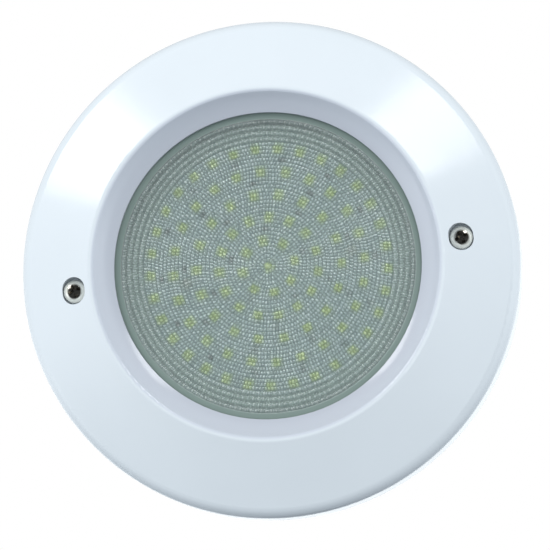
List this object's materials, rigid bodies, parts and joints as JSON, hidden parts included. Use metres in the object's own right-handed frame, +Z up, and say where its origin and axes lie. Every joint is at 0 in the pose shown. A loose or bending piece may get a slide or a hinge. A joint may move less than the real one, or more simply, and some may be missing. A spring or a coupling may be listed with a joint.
{
  "type": "underwater pool light",
  "caption": "Flat wall-mounted underwater pool light: white conical face ring, clear bumpy lens over a round LED board, screwed to a wall bracket.",
  "frame": {"origin": "centre of the wall bracket's back face, on the pool wall", "axes": "-Y out of the wall, the way the light shines; +Y into the wall; +Z up; +X to the right as seen from the pool"},
  "size_m": [0.27, 0.0396, 0.27],
  "materials": {
    "white_plastic": "glossy moulded, smooth",
    "bracket_plastic": "fine moulded texture",
    "housing_plastic": "satin moulded",
    "surround_plastic": "satin moulded",
    "lens": "clear, small moulded bumps",
    "silicone": "smooth silicone",
    "rubber": "matte",
    "brass": "machined",
    "stainless": "bright formed",
    "aluminium": "brushed",
    "white_board": "white solder mask",
    "green_board": "green solder mask",
    "led_package": "satin",
    "phosphor": "smooth",
    "component_black": "moulded epoxy",
    "ferrite": "sintered",
    "ceramic_white": "glazed",
    "terminal_green": "moulded",
    "tinned_wire": "tinned",
    "gland_plastic": "moulded nylon",
    "nylon": "smooth"
  },
  "bodies": {
    "bracket": {"wall_bracket": "bracket_plastic", "threaded_inserts": "brass"},
    "lamp": {"face_ring": "white_plastic", "ring_screws": "stainless", "lens": "lens", "lens_gasket": "silicone", "lens_front_seal": "silicone", "lamp_housing": "housing_plastic", "board_surround": "surround_plastic", "led_board": "white_board", "led_packages_ring_0": "led_package", "led_packages_ring_1": "led_package", "led_packages_ring_2": "led_package", "led_packages_ring_3": "led_package", "led_packages_ring_4": "led_package", "led_packages_ring_5": "led_package", "led_windows_ring_0": "phosphor", "led_windows_ring_1": "phosphor", "led_windows_ring_2": "phosphor", "led_windows_ring_3": "phosphor", "led_windows_ring_4": "phosphor", "led_windows_ring_5": "phosphor", "board_resistors": "component_black", "board_screws": "stainless", "board_posts": "brass", "heat_spreader": "aluminium", "driver_board": "green_board", "driver_posts": "housing_plastic", "driver_screws": "stainless", "bridge_rectifier": "component_black", "filter_capacitors": "aluminium", "inductors": "ferrite", "driver_chips": "component_black", "input_fuse": "ceramic_white", "input_terminal": "terminal_green", "terminal_screws": "stainless", "link_wires": "tinned_wire", "gland_body": "gland_plastic", "gland_face_seal": "rubber", "gland_grommet": "rubber", "gland_nut": "gland_plastic"},
    "right_washer": {"washer_right": "nylon"},
    "right_screw": {"face_screw_right": "stainless"},
    "left_washer": {"washer_left": "nylon"},
    "left_screw": {"face_screw_left": "stainless"}
  },
  "joints": [
    {"name": "lamp_lift_off", "type": "slide", "parent": "bracket", "child": "lamp", "axis": [0, -1, 0], "range_m": [0, 0.06]},
    {"name": "right_screw_travel", "type": "slide", "parent": "lamp", "child": "right_washer", "axis": [0, -1, 0], "range_m": [0, 0.0125]},
    {"name": "right_screw_turn", "type": "hinge", "parent": "right_washer", "child": "right_screw", "pos_m": [0.105, 0, 0], "axis": [0, -1, 0], "range_deg": [0, 4500]},
    {"name": "left_screw_travel", "type": "slide", "parent": "lamp", "child": "left_washer", "axis": [0, -1, 0], "range_m": [0, 0.0125]},
    {"name": "left_screw_turn", "type": "hinge", "parent": "left_washer", "child": "left_screw", "pos_m": [-0.105, 0, 0], "axis": [0, -1, 0], "range_deg": [0, 4500]}
  ],
  "couplings": [
    {"joint": "right_screw_turn", "follows": "right_screw_travel", "rad_per_m": 6283.2},
    {"joint": "left_screw_turn", "follows": "left_screw_travel", "rad_per_m": 6283.2}
  ]
}
